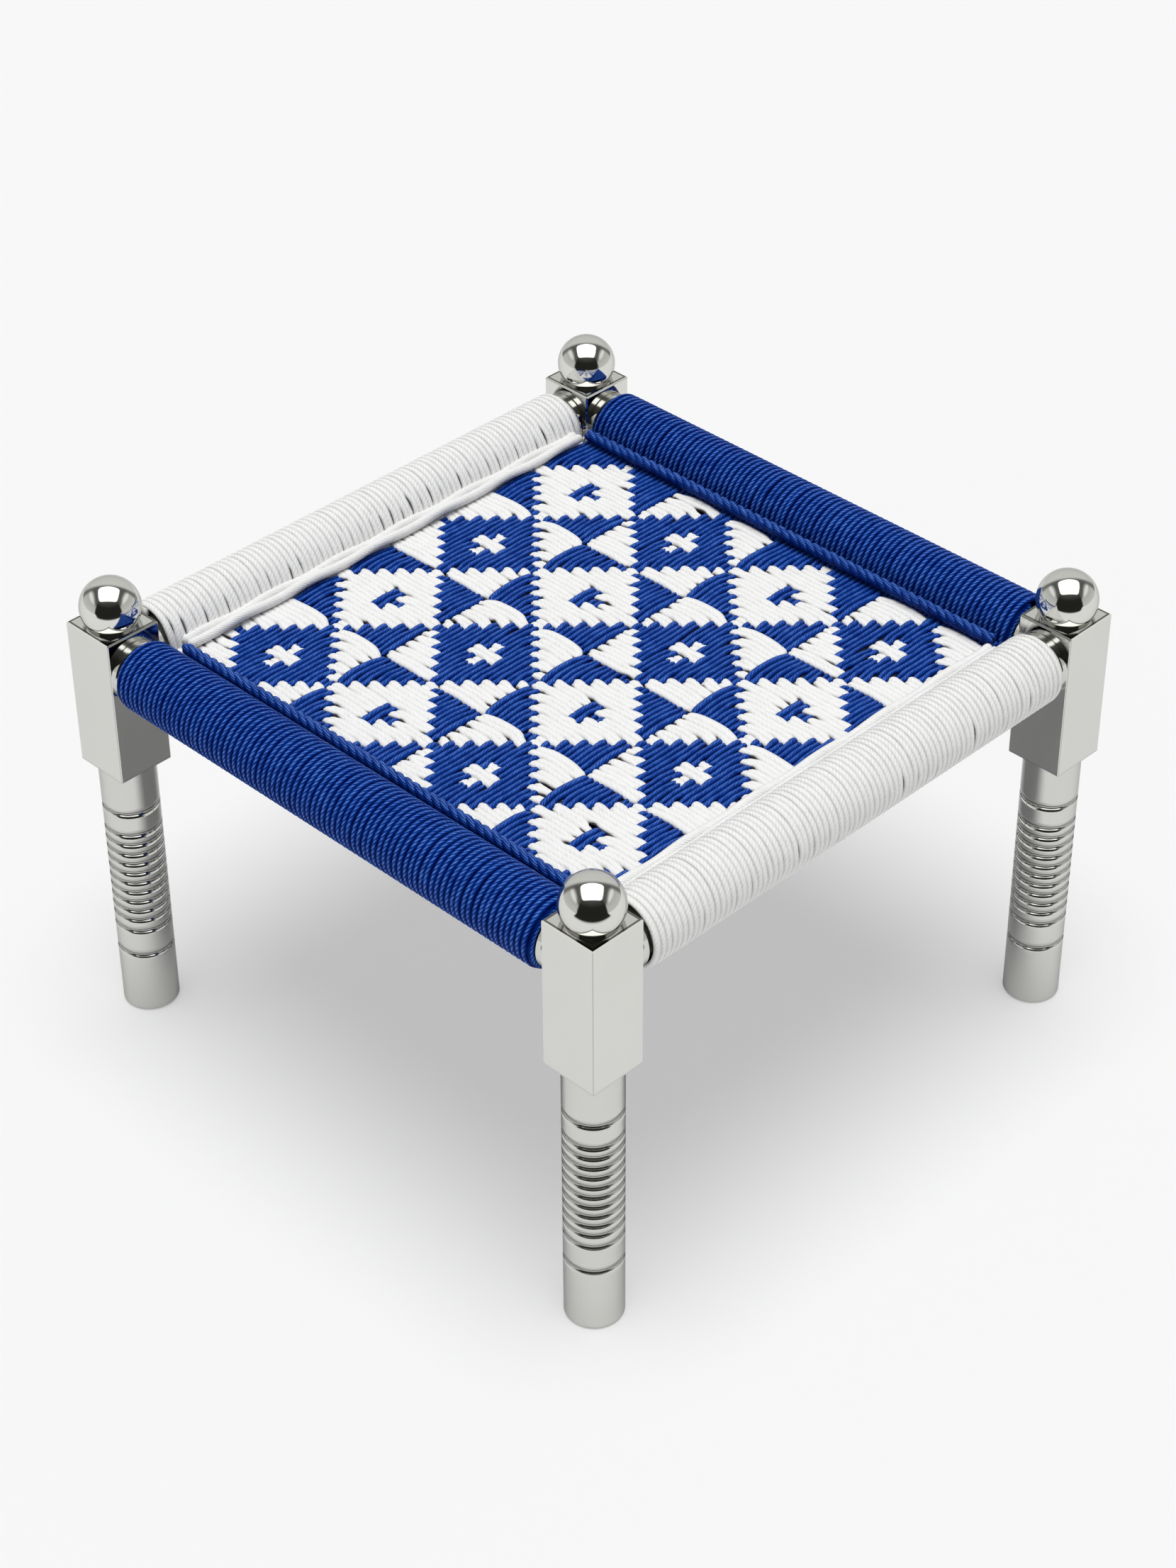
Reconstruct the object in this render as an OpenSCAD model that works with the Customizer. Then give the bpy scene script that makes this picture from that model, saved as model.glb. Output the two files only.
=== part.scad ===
// Low woven stool: four turned steel legs under square post blocks with ball finials,
// four steel rails wound with cord, and a seat woven from white and blue cord.
// Millimetres, +Z up. The origin is on the floor at the middle of the stool.
// The front leg stands at +X -Y, the right leg at +X +Y, the left leg at -X -Y.

/* [Frame] */
// Distance between the centre lines of neighbouring legs
leg_spacing = 410; // [380:1:450]
// Depth of the rails' centre line below the top of the post blocks
rail_drop = 25.5; // [24:0.5:30]

/* [Post blocks] */
// Side of the square block
block_w = 40; // [36:0.5:46]
// Height of the block
block_h = 103.5; // [90:0.5:120]
// Chamfer along every edge of the block
block_chamfer = 1; // [0.4:0.1:2]

/* [Ball finials] */
// Diameter of the ball
ball_d = 38.5; // [34:0.5:44]
// Height of the ball's centre above the block
ball_rise = 10.9; // [8:0.1:14]

/* [Turned legs] */
// Height of the leg between its foot glide and the block
leg_h = 191.5; // [170:0.5:240]
// Diameter of the plain stretches
leg_d = 36.6; // [32:0.2:40]
// Height of the lowest groove above the leg's underside
foot_h = 46.5; // [35:0.5:60]
// Band between the lowest groove and the beads
lower_band_h = 20; // [12:0.5:26]
// Height of the lowest bead
base_bead_h = 9.3; // [7:0.1:12]
// Height of each of the other beads
bead_h = 7.6; // [6:0.1:8.5]
// Number of beads above the lowest one
bead_count = 9; // [5:1:11]
// Band between the beads and the highest groove
upper_band_h = 16.4; // [10:0.2:18]
// Width of a groove
groove_w = 3; // [2:0.1:4]
// Depth of a groove
groove_depth = 0.8; // [0.4:0.1:1.2]
// Round on the leg's lower rim
foot_round = 1.2; // [0.5:0.1:1.6]
// Wall of the leg round its bore, which is open at the foot
leg_wall = 4.8; // [4.5:0.1:6]
// Solid length left above the bore for the leg stud
leg_head_h = 28; // [26:0.5:40]

/* [Foot glides] */
// How far the glide stands below the leg
glide_h = 1; // [0.6:0.1:3]
// How far the glide's rim stays inside the leg's flat underside
glide_margin = 1.6; // [0.5:0.1:1.8]
// Length of the glide's plug inside the leg
glide_plug_h = 14; // [8:0.5:24]
// Wall of the glide's plug
glide_wall = 3; // [2:0.25:5]

/* [Rails] */
// Diameter of the rail tube
rail_d = 30; // [26:0.5:31]
// Wall of the rail tube
rail_wall = 2.5; // [1.5:0.25:3]
// Length of the plug in each end of a rail
plug_h = 20; // [18:0.5:30]

/* [Collars] */
// How far the step against the block stays inside the block's sides
collar_margin = 0.3; // [0.1:0.1:1]
// Length of that step
collar_h = 5; // [3:0.25:6]
// Diameter of the smaller step
neck_d = 35; // [34:0.5:36]
// Length of the smaller step
neck_h = 5; // [3:0.25:6]
// Chamfer on the rims of both steps
collar_chamfer = 0.7; // [0.3:0.1:1]

/* [Cord windings] */
// Outer diameter of a wound rail
wound_d = 46; // [44:0.5:48]
// Thickness of the outer layer of cord
cord_t = 4; // [3:0.25:4.5]
// Turns of the four-cord band along a rail
wound_turns = 24; // [18:1:24]
// Gap between neighbouring turns
turn_gap = 0.6; // [0.5:0.1:1]

/* [Woven seat] */
// Height of the seat's upper face above the rails' centre line
seat_rise = 0.5; // [-3:0.5:4]
// Squares of the woven pattern along each side of the seat
squares = 4; // [3:1:4]
// Groups of cord across one square
square_groups = 11; // [9:2:13]
// Depth of the valley between two groups
valley_depth = 0.8; // [0.3:0.1:1.5]
// Diameter of the twined cord along the seat's edge
edge_d = 8; // [6:0.5:10]
// Space between the twined cord and the winding beside it
edge_gap = 3; // [2:0.5:6]

/* [Studs] */
// Diameter of the stud under a ball
ball_stud_d = 8; // [6:1:10]
// Length of that stud in the ball, and again in the block
ball_stud_h = 12; // [8:0.5:13]
// Diameter of the stud between leg and block
leg_stud_d = 12; // [8:1:14]
// Length of that stud in the leg, and again in the block
leg_stud_h = 20; // [12:0.5:24]
// Diameter of the stud in a rail's end
rail_stud_d = 10; // [6:1:10]
// Length of that stud in the block
rail_stud_in_block = 12; // [8:0.5:13]
// Length of that stud in the rail's plug
rail_stud_in_plug = 15; // [10:0.5:16]

/* [Fits] */
// Clearance round a stud, a plug and a collar, on the radius
fit = 0.1; // [0.05:0.05:0.2]
// Gap between cord and the pieces beside it
cord_gap = 0.3; // [0.2:0.05:0.4]

/* [Hidden] */
$fn = 96;

CORNERS = ["front", "left", "back", "right"];
// Which way each corner lies along X and Y
CORNER_SIGNS = [[1, -1], [-1, -1], [-1, 1], [1, 1]];
RAILS = ["front_left_rail", "back_left_rail", "back_right_rail", "front_right_rail"];
// Turn of each rail about the vertical from the one on the -Y side
RAIL_TURNS = [0, -90, 180, 90];

STEEL = "silver";
WHITE = "whitesmoke";
BLUE = "royalblue";

// Rings of points along each turn of a winding
RINGS_PER_TURN = 11;
// How much narrower, on each side, the band of cord is on its outer face
BAND_TAPER = 0.8;
// Points from one edge of a groove to the other
GROOVE_STEPS = 6;

half_spacing = leg_spacing / 2;
leg_top = glide_h + leg_h;
block_top = leg_top + block_h;
leg_bore_d = leg_d - 2 * leg_wall;
glide_d = leg_d - 2 * foot_round - 2 * glide_margin;

rail_z = block_top - rail_drop;
rail_len = leg_spacing - block_w;
collar_d = block_w - 2 * collar_margin;

winding_len = rail_len - 2 * (collar_h + neck_h) - 2 * cord_gap;
// A band's straight lead at either end, as a share of a turn
lead_share = cord_t / (PI * (wound_d - cord_t));
turn_pitch = (winding_len + turn_gap) / (wound_turns + 1 + 2 * lead_share);
band_w = turn_pitch - turn_gap;
core_d = (wound_d - 2 * cord_t) * cos(180 / RINGS_PER_TURN) - 2 * cord_gap;

seat_top = rail_z + seat_rise;
field_w = winding_len;
groups = squares * square_groups;
// The seat's cords run up to the windings that they are tied round
seat_reach = half_spacing - wound_d / 2 - cord_gap;
blue_edge_half = field_w / 2;
// Distance of an edge cord from its rail's centre line
edge_inset = wound_d / 2 + edge_gap + edge_d / 2;
// A white edge cord stops beside the blue ones, which run past its ends
white_edge_half = half_spacing - edge_inset - edge_d / 2 - cord_gap;

// One copy at a corner, with its corner turned to face outwards like the front one
module at_corner(i) {
    translate([CORNER_SIGNS[i].x * half_spacing, CORNER_SIGNS[i].y * half_spacing, 0])
        rotate(-90 * i) children();
}

// One copy on the side of a rail, drawn lying along X with its middle at the origin
module at_rail(i) {
    rotate(RAIL_TURNS[i]) translate([0, -half_spacing, rail_z]) children();
}

// A solid of revolution along X between x = 0 and x = its length
module along_x() {
    rotate([0, 90, 0]) children();
}

// Square bar with every edge chamfered
module chamfered_bar(w, h, c) {
    module outline(a, b) {
        polygon([[-a / 2 + c, -b / 2], [a / 2 - c, -b / 2], [a / 2, -b / 2 + c], [a / 2, b / 2 - c],
                 [a / 2 - c, b / 2], [-a / 2 + c, b / 2], [-a / 2, b / 2 - c], [-a / 2, -b / 2 + c]]);
    }
    translate([0, 0, h / 2]) intersection() {
        linear_extrude(h, center = true) outline(w, w);
        rotate([90, 0, 0]) linear_extrude(w, center = true) outline(w, h);
        rotate([90, 0, 90]) linear_extrude(w, center = true) outline(w, h);
    }
}

module finial(i) {
    color(STEEL) at_corner(i) translate([0, 0, block_top]) difference() {
        translate([0, 0, ball_rise]) sphere(d = ball_d);
        translate([0, 0, -ball_d]) linear_extrude(ball_d) square(2 * ball_d, center = true);
        translate([0, 0, -1]) cylinder(d = ball_stud_d + 2 * fit, h = ball_stud_h + fit + 1);
    }
}

module finial_studs() {
    color(STEEL) for (i = [0:3])
        at_corner(i) translate([0, 0, block_top - ball_stud_h])
            cylinder(d = ball_stud_d, h = 2 * ball_stud_h);
}

// The block's rail holes are in the two faces that look at the neighbouring legs
module post_block(i) {
    color(STEEL) at_corner(i) difference() {
        translate([0, 0, leg_top]) chamfered_bar(block_w, block_h, block_chamfer);
        translate([0, 0, block_top - ball_stud_h - fit])
            cylinder(d = ball_stud_d + 2 * fit, h = ball_stud_h + 1);
        translate([0, 0, leg_top - 1]) cylinder(d = leg_stud_d + 2 * fit, h = leg_stud_h + fit + 1);
        for (turn = [90, 180])
            rotate(turn) translate([block_w / 2 - rail_stud_in_block - fit, 0, rail_z])
                along_x() cylinder(d = rail_stud_d + 2 * fit, h = rail_stud_in_block + 1);
    }
}

module leg_studs() {
    color(STEEL) for (i = [0:3])
        at_corner(i) translate([0, 0, leg_top - leg_stud_h])
            cylinder(d = leg_stud_d, h = 2 * leg_stud_h);
}

// Heights of the groove centres above the leg's underside, from the foot up
function bead_base() = foot_h + lower_band_h;
function groove_heights() = concat(
    [foot_h],
    [for (k = [0:bead_count + 1]) bead_base() + (k == 0 ? 0 : base_bead_h + (k - 1) * bead_h)],
    [bead_base() + base_bead_h + bead_count * bead_h + upper_band_h]);

// A groove is an arc through its two edges and its deepest point
function groove_radius() = (pow(groove_w / 2, 2) + pow(groove_depth, 2)) / (2 * groove_depth);
function groove_points(z) = [for (k = [0:GROOVE_STEPS])
    let (dz = groove_w * (k / GROOVE_STEPS - 0.5), r = groove_radius())
    [leg_d / 2 - groove_depth + r - sqrt(r * r - dz * dz), z + dz]];
function rim_points() = [for (a = [0:15:90])
    [leg_d / 2 - foot_round * (1 - sin(a)), foot_round * (1 - cos(a))]];

module turned_leg(i) {
    outline = concat([[0, 0]], rim_points(),
        [for (z = groove_heights()) each groove_points(z)],
        [[leg_d / 2, leg_h], [0, leg_h]]);
    color(STEEL) at_corner(i) translate([0, 0, glide_h]) difference() {
        rotate_extrude() polygon(outline);
        translate([0, 0, -1]) cylinder(d = leg_bore_d, h = leg_h - leg_head_h + 1);
        translate([0, 0, leg_h - leg_stud_h - fit])
            cylinder(d = leg_stud_d + 2 * fit, h = leg_stud_h + 1);
    }
}

// A cupped plug in the leg's bore with a rim that carries the leg
module foot_glide(i) {
    plug_r = leg_bore_d / 2 - fit;
    color("dimgray") at_corner(i) rotate_extrude()
        polygon([[0, 0], [glide_d / 2 - glide_h / 2, 0], [glide_d / 2, glide_h / 2],
                 [glide_d / 2, glide_h], [plug_r, glide_h], [plug_r, glide_h + glide_plug_h],
                 [plug_r - glide_wall, glide_h + glide_plug_h],
                 [plug_r - glide_wall, glide_h + glide_wall], [0, glide_h + glide_wall]]);
}

module rail(i) {
    color(STEEL) at_rail(i) translate([-rail_len / 2, 0, 0]) along_x()
        linear_extrude(rail_len) difference() {
            circle(d = rail_d);
            circle(d = rail_d - 2 * rail_wall);
        }
}

// One copy at each end of a rail, drawn from the block's face towards the rail's middle
module at_rail_ends(i) {
    for (end = [0, 180])
        at_rail(i) rotate(end) translate([-rail_len / 2, 0, 0]) children();
}

module rail_plugs() {
    color(STEEL) for (i = [0:3])
        at_rail_ends(i) along_x() difference() {
            cylinder(d = rail_d - 2 * rail_wall - 2 * fit, h = plug_h);
            translate([0, 0, -1]) cylinder(d = rail_stud_d + 2 * fit, h = rail_stud_in_plug + fit + 1);
        }
}

module rail_studs() {
    color(STEEL) for (i = [0:3])
        at_rail_ends(i) translate([-rail_stud_in_block, 0, 0]) along_x()
            cylinder(d = rail_stud_d, h = rail_stud_in_block + rail_stud_in_plug);
}

// A turned collar in two steps, seated against the block
module collar(i, end) {
    c = collar_chamfer;
    bore = rail_d / 2 + fit;
    color(STEEL) at_rail(i) rotate(end) translate([-rail_len / 2, 0, 0]) along_x() rotate_extrude()
        polygon([[bore, 0], [collar_d / 2 - c, 0], [collar_d / 2, c],
                 [collar_d / 2, collar_h - c], [collar_d / 2 - c, collar_h],
                 [neck_d / 2, collar_h], [neck_d / 2, collar_h + neck_h - c],
                 [neck_d / 2 - c, collar_h + neck_h], [bore, collar_h + neck_h]]);
}

// The band of cord as a helix: ring n is a four-sided section at its angle round the rail
function band_corner(n, j) =
    let (angle = 360 * n / RINGS_PER_TURN,
         x = turn_pitch * (n / RINGS_PER_TURN - wound_turns / 2),
         side = (j == 0 || j == 3) ? -1 : 1,
         outer = j >= 2,
         half = outer ? band_w / 2 - BAND_TAPER : band_w / 2,
         r = outer ? wound_d / 2 : wound_d / 2 - cord_t)
    [x + side * half, r * sin(angle), r * cos(angle)];
// Either end of the band runs straight on for its thickness
function lead(n, way) =
    let (angle = 360 * n / RINGS_PER_TURN)
    way * [turn_pitch * lead_share, cord_t * cos(angle), -cord_t * sin(angle)];
function band_rings() =
    let (last = wound_turns * RINGS_PER_TURN)
    concat([[for (j = [0:3]) band_corner(0, j) + lead(0, -1)]],
           [for (n = [0:last]) [for (j = [0:3]) band_corner(n, j)]],
           [[for (j = [0:3]) band_corner(last, j) + lead(last, 1)]]);
function band_faces(rings) =
    let (last = len(rings) - 1)
    concat([[0, 2, 1], [0, 3, 2]],
           [for (n = [0:last - 1], j = [0:3])
               let (k = (j + 1) % 4, a = 4 * n + j, b = 4 * n + k)
               each [[a, b, a + 4], [b, b + 4, a + 4]]],
           [[4 * last, 4 * last + 1, 4 * last + 2], [4 * last, 4 * last + 2, 4 * last + 3]]);

// The least distance from any point of a ring to the points of the turn beside it
function least_gap(rings) = min([
    for (n = [0:len(rings) - RINGS_PER_TURN - 3], step = [-1:1],
         p = rings[n], q = rings[n + RINGS_PER_TURN + step])
        norm(q - p)]);

module winding(i, shade) {
    rings = band_rings();
    echo("least gap of a winding to itself", least_gap(rings));
    color(shade) at_rail(i) {
        polyhedron([for (ring = rings) each ring], band_faces(rings), convexity = 10);
        translate([-winding_len / 2, 0, 0]) along_x() linear_extrude(winding_len) difference() {
            circle(d = core_d);
            circle(d = rail_d + 2 * cord_gap);
        }
    }
}

// One layer of the seat: cords side by side along X, with a valley between two groups
module seat_layer() {
    pitch = field_w / groups;
    ridges = [for (k = [0:groups - 1]) let (y = -field_w / 2 + k * pitch)
        each [[y, -valley_depth], [y + valley_depth, 0], [y + pitch - valley_depth, 0]]];
    rotate([90, 0, 90]) linear_extrude(2 * seat_reach, center = true)
        polygon(concat(ridges, [[field_w / 2, -valley_depth], [field_w / 2, -cord_t],
                                [-field_w / 2, -cord_t]]));
}

// The lower layer has its valleys on the underside
module white_seat_cords() {
    color(WHITE) translate([0, 0, seat_top - 2 * cord_t]) mirror([0, 0, 1]) seat_layer();
}

module blue_seat_cords() {
    color(BLUE) translate([0, 0, seat_top]) rotate(90) seat_layer();
}

// The twined cord that closes the seat along a rail
module edge_cord(i, shade, half_len) {
    color(shade) at_rail(i)
        translate([-half_len, edge_inset, seat_top - rail_z + cord_gap + edge_d / 2]) along_x()
            cylinder(d = edge_d, h = 2 * half_len);
}

for (i = [0:3]) {
    finial(i);
    post_block(i);
    turned_leg(i);
    foot_glide(i);
    rail(i);
}
finial_studs();
leg_studs();
rail_plugs();
rail_studs();

collar(0, 0);  // front_left_rail_left_collar
collar(0, 180);  // front_left_rail_front_collar
collar(1, 0);  // back_left_rail_back_collar
collar(1, 180);  // back_left_rail_left_collar
collar(2, 0);  // back_right_rail_right_collar
collar(2, 180);  // back_right_rail_back_collar
collar(3, 0);  // front_right_rail_front_collar
collar(3, 180);  // front_right_rail_right_collar

winding(0, BLUE);  // front_left_winding
winding(1, WHITE);  // back_left_winding
winding(2, BLUE);  // back_right_winding
winding(3, WHITE);  // front_right_winding

white_seat_cords();
blue_seat_cords();

edge_cord(0, BLUE, blue_edge_half);  // front_left_edge_cord
edge_cord(1, WHITE, white_edge_half);  // back_left_edge_cord
edge_cord(2, BLUE, blue_edge_half);  // back_right_edge_cord
edge_cord(3, WHITE, white_edge_half);  // front_right_edge_cord
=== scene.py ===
"""Low woven stool: steel posts and legs, cord-wound rails and a seat woven in white and blue diamonds."""

import math

import bpy
import numpy as np
from bpy.props import FloatProperty, FloatVectorProperty, IntProperty, PointerProperty
from bpy.types import Operator, Panel, PropertyGroup
from mathutils import Matrix, Vector


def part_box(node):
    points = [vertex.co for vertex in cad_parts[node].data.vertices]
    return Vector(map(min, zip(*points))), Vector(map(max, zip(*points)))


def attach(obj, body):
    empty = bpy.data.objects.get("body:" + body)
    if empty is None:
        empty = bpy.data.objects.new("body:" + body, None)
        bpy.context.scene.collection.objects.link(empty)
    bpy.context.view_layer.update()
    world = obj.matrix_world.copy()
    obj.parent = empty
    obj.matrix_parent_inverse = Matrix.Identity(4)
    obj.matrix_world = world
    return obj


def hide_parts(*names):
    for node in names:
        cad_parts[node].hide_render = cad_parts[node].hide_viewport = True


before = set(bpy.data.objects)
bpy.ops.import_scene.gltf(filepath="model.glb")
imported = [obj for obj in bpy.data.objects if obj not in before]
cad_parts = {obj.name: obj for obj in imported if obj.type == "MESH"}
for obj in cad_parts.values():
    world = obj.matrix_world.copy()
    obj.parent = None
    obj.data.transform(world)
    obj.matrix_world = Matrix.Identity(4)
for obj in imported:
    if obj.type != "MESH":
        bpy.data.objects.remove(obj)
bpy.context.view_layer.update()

bl_info = {
    "name": "Low woven stool",
    "version": (1, 0, 0),
    "blender": (4, 5, 0),
    "location": "View3D > Sidebar > Stool",
    "description": "Polished steel, wound rails and a woven seat for a low stool's frame",
    "category": "Add Mesh",
}

MM = 0.001
UP = np.array([0.0, 0.0, 1.0])
BODY = "root"
UV_NAME = "cord"
CREST = "crest"

# Each rail, its quarter turns about the vertical from the one on the -Y side, and the colour of its cord
RAILS = (("front_left", 0, "blue"), ("back_left", -1, "white"),
         ("back_right", 2, "blue"), ("front_right", 1, "white"))
# Where the turns on a rail part: the share of a turn from its top towards the seat, the step from one
# border that opens to the next, and the slit's width over the usual one
SLITS = {"front_left": ((0.13, 1, 1.0),), "back_left": ((0.165, 2, 0.75), (0.86, 3, 0.5)),
         "back_right": ((0.13, 1, 1.0),),
         "front_right": ((0.76, 3, 0.45), (0.69, 5, 0.4), (0.13, 3, 0.4))}
# Width of a wound cord over the distance between two turns
OVERLAP = {"blue": 1.1, "white": 1.12}
# Half width of a seat cord over the half pitch: as it lies free, and how much less where it is closed up
SPREAD = {"blue": (1.03, 0.14), "white": (1.4, 0.28)}
# Painted shade: how much darker a seat cord is painted where it goes down under others
SUNK_SHADE = {"blue": 1.2, "white": 0}
# How much darker turned steel is than the blocks
TURNED_DARK = 0.09
# What lies past the lit part of the room
DARK_ROOM = (0.02, 0.02, 0.018)
# How far a white edge cord's two strands lie from its middle, and its length for 1 radian of their sway
WHITE_APART = 2.6 * MM
WHITE_SWAY = 9 * MM

# Points round a cord of a rail or the seat, round an edge cord and round the layer under a winding
CORD_SIDES, EDGE_SIDES, LAYER_SIDES = 8, 12, 48
# Points along one turn of a winding, along a seat cord, an edge cord and the curve of a winding's end
TURN_STEPS, SEAT_STEPS, EDGE_STEPS, BEND_STEPS = 44, 277, 440, 17
# Where each rail's and each set of seat cords' random draws start
WINDING_SEED, SEAT_SEED = 40, 7

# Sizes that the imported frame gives
rail_low, rail_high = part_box("front_left_rail")
RAIL_HEIGHT = (rail_low.z + rail_high.z) / 2
RAIL_OFFSET = -(rail_low.y + rail_high.y) / 2
winding_low, winding_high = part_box("front_left_winding")
WOUND_HALF = (winding_high.x - winding_low.x) / 2
WOUND_RADIUS = winding_high.z - RAIL_HEIGHT
blue_low, blue_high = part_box("blue_seat_cords")
FIELD_HALF = (blue_high.x - blue_low.x) / 2
SEAT_MIDDLE = blue_low.z
edge_low, edge_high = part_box("front_left_edge_cord")
EDGE_RADIUS = (edge_high.z - edge_low.z) / 2
EDGE_INSET = (edge_low.y + edge_high.y) / 2 + RAIL_OFFSET
EDGE_HEIGHT = (edge_low.z + edge_high.z) / 2
post_low, post_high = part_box("back_post_block")
POST_HALF = (post_high.x - post_low.x) / 2
CORNER = abs(post_high.x + post_low.x) / 2
# Height of one bead of a leg above the first, and half the width of a groove
BEAD = 7.6 * MM
GROOVE_HALF = 1.5 * MM
# Heights of grooves round a leg: the lowest, the first, second and last about the beads, and the highest
GROOVES = (47.5 * MM, 67.5 * MM, 76.8 * MM, 76.8 * MM + 9 * BEAD, 161.6 * MM)
BEAD_MIDDLE = (GROOVES[2] + GROOVES[3]) / 2
BEAD_REACH = (GROOVES[3] - GROOVES[2]) / 2


def number_prop(name, description, default, low, high, **more):
    """A number from low to high."""
    return FloatProperty(name=name, description=description, default=default, min=low, max=high, **more)


def share_prop(name, description, default, high=1):
    """A share, from 0 to 1 or to what high says."""
    return number_prop(name, description, default, 0, high, subtype="FACTOR")


def length_prop(name, description, default, low, high):
    """A length, with its three numbers in millimetres."""
    return number_prop(name, description, default * MM, low * MM, high * MM, subtype="DISTANCE")


def angle_prop(name, description, default, low=0, high=180):
    """An angle, with its three numbers in degrees."""
    return number_prop(name, description, math.radians(default), math.radians(low), math.radians(high),
                       subtype="ANGLE")


def count_prop(name, description, default, low, high):
    """A whole number from low to high."""
    return IntProperty(name=name, description=description, default=default, min=low, max=high)


def colour_prop(name, description, default):
    """A colour, from black at 0 to white at 1."""
    return FloatVectorProperty(name=name, description=description, subtype="COLOR", size=3, min=0, max=1,
                               default=default)


# What groups of settings for cords share: kind, description and limits. {} stands for blue and for white
CORD_PROPS = {
    # The colours for a slit and for between strands are painted shade, and the colour where a strand
    # stands highest is a painted highlight; contrast, line, narrow, sharp and crest set how that painted
    # highlight and shade fall
    "under": (colour_prop, "Colour of {} cord seen in a slit between two others"),
    "deep": (colour_prop, "Colour of {} cord between its strands"),
    "body": (colour_prop, "Body colour of {} cord"),
    "light": (colour_prop, "Colour of {} cord where a strand stands highest"),
    "sheen": (colour_prop, "Colour of the gloss of {} cord"),
    "contrast": (share_prop, "How much lighter a strand's top is than its sides"),
    "line": (share_prop, "How light the top of a cord is where its strands don't show"),
    "narrow": (number_prop, "How narrow the light line along a cord's top is", 0.2, 5),
    "sharp": (number_prop, "How narrow the light line on each strand is", 0.5, 8),
    "gloss": (share_prop, "How much the cord shines"),
    "crest": (angle_prop, "Angle from the top of a cord or strand over which it turns darker", 6),
    "depth": (length_prop, "Depth of the grooves between strands of {} cord", 0, 1),
    "strands": (count_prop, "Strands of {} cord, or yarns in each strand of an edge cord", 2, 16),
    "lay": (length_prop, "Length of {} cord for one turn of a strand, below 0 if left-hand", -300, 300),
    "twist_change": (length_prop, "How far the twist of a cord shifts along it", 0, 5),
    "thickness": (length_prop, "Thickness of {} cord, out from the rail", 2, 6),
    "wander": (length_prop, "How far a turn of {} cord strays along its rail", 0, 1),
    "gap": (length_prop, "Usual slit between two turns of {} cord, where they part", 0, 3),
    "pinch": (share_prop, "Share by which {} cords close up where they go under", 0.6),
    "spread": (length_prop, "How far {} cord on top spreads over a neighbour that lies under", 0, 3),
    "radius": (length_prop, "Radius of each strand of a {} edge cord", 1, 4),
    "rise": (length_prop, "How much higher a {} edge cord lies than the plain solid", -4, 4),
}


def cord_settings(**defaults):
    """Base class of a group of settings for cords, from the table above and the group's defaults.

    Where the description names a colour there are two settings, and the defaults are blue's and white's.
    """
    made = {}
    for name, default in defaults.items():
        kind, description, *limits = CORD_PROPS[name]
        label = name.replace("_", " ")
        if "{}" in description:
            for colour, value in zip(("blue", "white"), default):
                made[f"{colour}_{name}"] = kind(
                    f"{colour.title()} {label}", description.format(colour), value, *limits)
        else:
            made[name] = kind(label.capitalize(), description, default, *limits)
    return type("SharedSettings", (), {"__annotations__": made})


class CordSettings(cord_settings(
        under=((0.0, 0.002, 0.03), (0.17, 0.16, 0.145)), deep=((0.0, 0.005, 0.095), (0.74, 0.735, 0.715)),
        body=((0.003, 0.038, 0.26), (0.90, 0.90, 0.89)), light=((0.09, 0.21, 0.66), (0.95, 0.95, 0.945)),
        sheen=((0.15, 0.4, 1.0), (1.0, 1.0, 1.0))), PropertyGroup):
    """Colours of blue and of white cord, with painted shade for slits and grooves and a painted highlight
    for strand tops
    """


class WindingSettings(cord_settings(
        contrast=0.62, line=1.0, narrow=0.85, sharp=2.5, gloss=0.04, crest=33, depth=(0.25, 0.15),
        strands=(6, 4), lay=(19, 11), twist_change=1.3, thickness=(2.8, 2.1), wander=(0.2, 0.16),
        gap=(0.10, 1.45)), PropertyGroup):
    """The cords wound round the rails"""
    turns: count_prop("Turns", "Turns of cord along one rail", 81, 20, 140)
    end_round: length_prop(
        "End round", "Length over which a winding's ends curve towards the rail", 4.2, 1, 8)
    end_fall: length_prop("End fall", "How much nearer to the rail the last turn lies", 3.2, 0, 4)
    end_over: length_prop(
        "End over", "How far a winding's ends reach over the collars' necks", 4.2, 0, 4.5)


class WeaveSettings(cord_settings(
        contrast=0.3, line=0.58, narrow=0.6, sharp=1.6, gloss=0.25, crest=55, depth=(0.07, 0.05),
        strands=(9, 6), lay=(-30, 22.5), twist_change=1.2, pinch=(0.24, 0.5), spread=(0.75, 0.8)),
        PropertyGroup):
    """The cords of the seat"""
    squares: count_prop("Squares", "Squares of the pattern along each side", 4, 1, 8)
    groups: count_prop("Groups", "Groups of cords across one square, an odd number", 11, 5, 21)
    cords: count_prop("Cords", "Cords in one group", 2, 1, 4)
    lift: length_prop("Lift", "Height of a cord above the seat's middle where it lies on top", 1.9, 0, 5)
    dome: length_prop("Dome", "How much further a long float rises at its middle", 0.5, 0, 2)
    travel: length_prop("Travel", "Length over which a cord goes from top to bottom", 4.4, 1, 8)
    skew: number_prop(
        "Skew", "How far one cord of a group runs on past the other, in groups", 0.14, 0, 0.3)
    pinch_reach: length_prop(
        "Pinch reach", "How far a group's cords stay closed up beside a change", 5.6, 1, 12)
    give: share_prop("Give", "How much a float gives way where the one beside it ends", 0.7)
    bow: length_prop("Bow", "How far the cords bow sideways between a square's corners", 1.5, 0, 4)
    wander: length_prop("Wander", "How far a seat cord strays sideways", 0.15, 0, 1)
    shift: FloatVectorProperty(
        name="Shift", description="Place of the pattern's middle", subtype="TRANSLATION", size=2,
        default=(-1.5 * MM, -1.5 * MM))


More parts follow.
